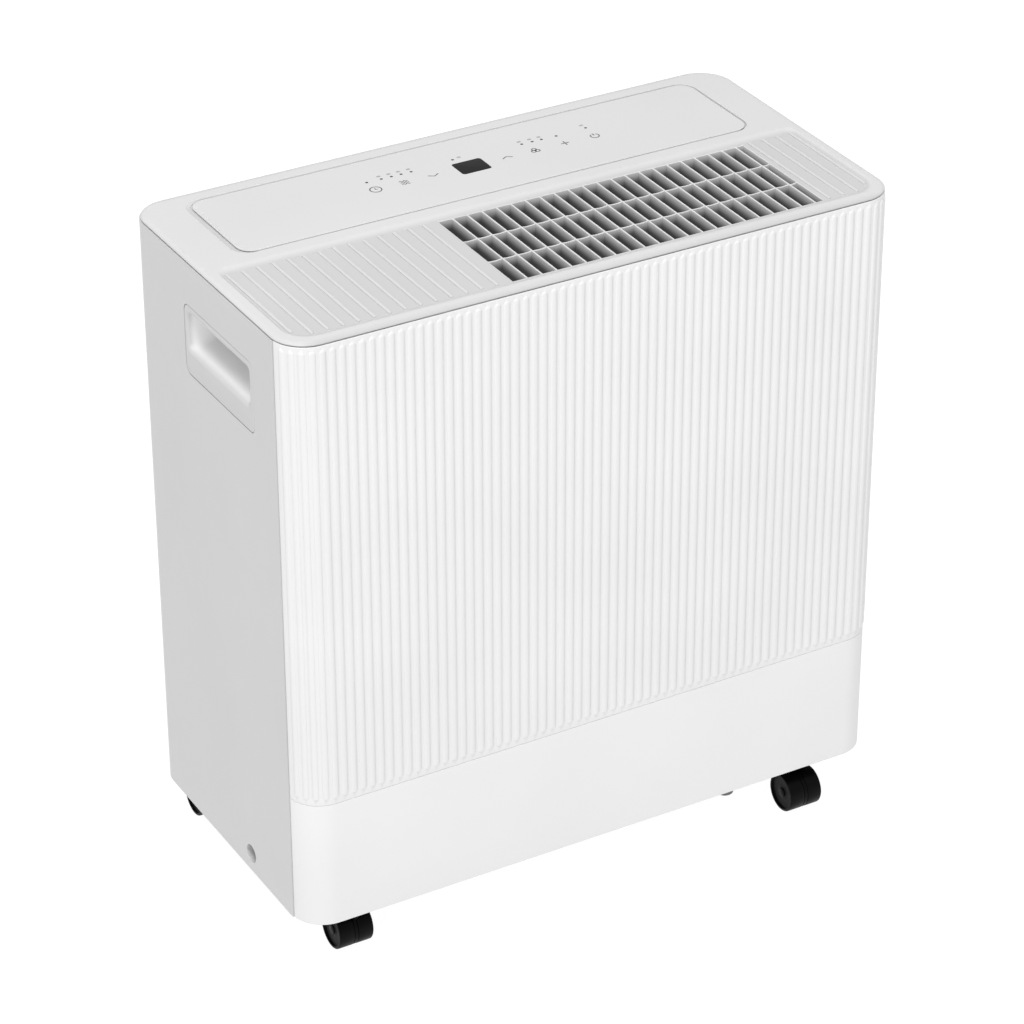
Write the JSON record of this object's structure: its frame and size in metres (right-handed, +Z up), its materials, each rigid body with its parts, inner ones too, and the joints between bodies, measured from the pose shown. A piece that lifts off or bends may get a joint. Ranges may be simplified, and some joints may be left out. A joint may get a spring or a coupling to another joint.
{
  "type": "dehumidifier",
  "caption": "Portable compressor dehumidifier with ribbed front, top outlet grille and touch controls, side hand grips, pull-out water bucket, rear filter cassette and twin-wheel casters.",
  "frame": {"origin": "on the floor, under the middle of the cabinet", "axes": "+Z up, +X to the right as seen from the front, the ribbed front faces -Y"},
  "size_m": [0.496, 0.255, 0.5258],
  "materials": {
    "white_front": "satin moulded, fine grain",
    "white_side": "satin moulded, fine grain",
    "white_top": "satin moulded, fine grain",
    "display": "gloss",
    "dark_plastic": "matt",
    "caster_black": "satin nylon",
    "steel": "zinc plated",
    "painted_steel": "black enamel",
    "rubber_black": "matt",
    "plug_grey": "matt",
    "fin_aluminium": "mill finish",
    "copper": "drawn copper tube",
    "inner_plastic": "matt",
    "board_green": "solder mask",
    "bucket_grey": "satin",
    "filter_mesh": "woven nylon"
  },
  "bodies": {
    "cabinet": {"base_pan": "dark_plastic", "left_side_panel": "white_side", "right_side_panel": "white_side", "rear_cover": "white_side", "front_panel": "white_front", "top_lid": "white_top", "outlet_grille": "white_top", "control_overlay": "white_top", "display_window": "display", "left_hand_grip": "white_side", "right_hand_grip": "white_side", "drain_outlet": "white_side", "cord_gland": "rubber_black", "base_plugs": "plug_grey", "rear_screws": "steel", "caster_sockets": "dark_plastic", "compressor": "painted_steel", "compressor_grommets": "rubber_black", "condenser_fins": "fin_aluminium", "evaporator_fins": "fin_aluminium", "coil_tubes": "copper", "refrigerant_pipes": "copper", "drip_tray": "inner_plastic", "scroll_housing": "inner_plastic", "fan_motor": "painted_steel", "outlet_duct": "inner_plastic", "control_board": "board_green", "display_module": "inner_plastic", "touch_springs": "steel", "power_box": "inner_plastic", "run_capacitor": "fin_aluminium", "humidity_sensor": "board_green", "bucket_switch": "inner_plastic", "bay_partition": "dark_plastic"},
    "bucket": {"water_bucket": "bucket_grey", "bucket_front": "white_front", "bucket_cover": "bucket_grey"},
    "float": {"float_arm": "bucket_grey", "float_magnet": "steel"},
    "blower": {"blower_wheel": "inner_plastic", "fan_shaft": "steel"},
    "filter_cassette": {"intake_grille": "white_side", "filter_frame": "inner_plastic", "filter_mesh": "filter_mesh"},
    "caster_front_left": {"caster_hood_front_left": "caster_black", "caster_axle_front_left": "steel"},
    "wheel_front_left_left": {"caster_wheel_front_left_left": "caster_black"},
    "wheel_front_left_right": {"caster_wheel_front_left_right": "caster_black"},
    "caster_front_right": {"caster_hood_front_right": "caster_black", "caster_axle_front_right": "steel"},
    "wheel_front_right_left": {"caster_wheel_front_right_left": "caster_black"},
    "wheel_front_right_right": {"caster_wheel_front_right_right": "caster_black"},
    "caster_rear_left": {"caster_hood_rear_left": "caster_black", "caster_axle_rear_left": "steel"},
    "wheel_rear_left_left": {"caster_wheel_rear_left_left": "caster_black"},
    "wheel_rear_left_right": {"caster_wheel_rear_left_right": "caster_black"},
    "caster_rear_right": {"caster_hood_rear_right": "caster_black", "caster_axle_rear_right": "steel"},
    "wheel_rear_right_left": {"caster_wheel_rear_right_left": "caster_black"},
    "wheel_rear_right_right": {"caster_wheel_rear_right_right": "caster_black"}
  },
  "joints": [
    {"name": "bucket_slide", "type": "slide", "parent": "cabinet", "child": "bucket", "axis": [0, -1, 0], "range_m": [0, 0.14]},
    {"name": "float_lift", "type": "hinge", "parent": "bucket", "child": "float", "pos_m": [-0.09, -0.03, 0.136], "axis": [-1, 0, 0], "range_deg": [0, 15]},
    {"name": "fan_spin", "type": "hinge", "parent": "cabinet", "child": "blower", "pos_m": [0.078, -0.04, 0.318], "axis": [0, 1, 0], "continuous": true},
    {"name": "filter_pull", "type": "slide", "parent": "cabinet", "child": "filter_cassette", "axis": [0, 1, 0], "range_m": [0, 0.05]},
    {"name": "swivel_front_left", "type": "hinge", "parent": "cabinet", "child": "caster_front_left", "pos_m": [-0.1995, -0.104, 0.04], "axis": [0, 0, 1], "continuous": true},
    {"name": "roll_front_left_left", "type": "hinge", "parent": "caster_front_left", "child": "wheel_front_left_left", "pos_m": [-0.2074, -0.096, 0.0155], "axis": [1, 0, 0], "continuous": true},
    {"name": "roll_front_left_right", "type": "hinge", "parent": "caster_front_left", "child": "wheel_front_left_right", "pos_m": [-0.1916, -0.096, 0.0155], "axis": [1, 0, 0], "continuous": true},
    {"name": "swivel_front_right", "type": "hinge", "parent": "cabinet", "child": "caster_front_right", "pos_m": [0.1885, -0.104, 0.04], "axis": [0, 0, 1], "continuous": true},
    {"name": "roll_front_right_left", "type": "hinge", "parent": "caster_front_right", "child": "wheel_front_right_left", "pos_m": [0.1806, -0.112, 0.0155], "axis": [1, 0, 0], "continuous": true},
    {"name": "roll_front_right_right", "type": "hinge", "parent": "caster_front_right", "child": "wheel_front_right_right", "pos_m": [0.1964, -0.112, 0.0155], "axis": [1, 0, 0], "continuous": true},
    {"name": "swivel_rear_left", "type": "hinge", "parent": "cabinet", "child": "caster_rear_left", "pos_m": [-0.213, 0.1035, 0.04], "axis": [0, 0, 1], "continuous": true},
    {"name": "roll_rear_left_left", "type": "hinge", "parent": "caster_rear_left", "child": "wheel_rear_left_left", "pos_m": [-0.2209, 0.1115, 0.0155], "axis": [1, 0, 0], "continuous": true},
    {"name": "roll_rear_left_right", "type": "hinge", "parent": "caster_rear_left", "child": "wheel_rear_left_right", "pos_m": [-0.2051, 0.1115, 0.0155], "axis": [1, 0, 0], "continuous": true},
    {"name": "swivel_rear_right", "type": "hinge", "parent": "cabinet", "child": "caster_rear_right", "pos_m": [0.203, 0.1035, 0.04], "axis": [0, 0, 1], "continuous": true},
    {"name": "roll_rear_right_left", "type": "hinge", "parent": "caster_rear_right", "child": "wheel_rear_right_left", "pos_m": [0.1951, 0.0955, 0.0155], "axis": [1, 0, 0], "continuous": true},
    {"name": "roll_rear_right_right", "type": "hinge", "parent": "caster_rear_right", "child": "wheel_rear_right_right", "pos_m": [0.2109, 0.0955, 0.0155], "axis": [1, 0, 0], "continuous": true}
  ]
}
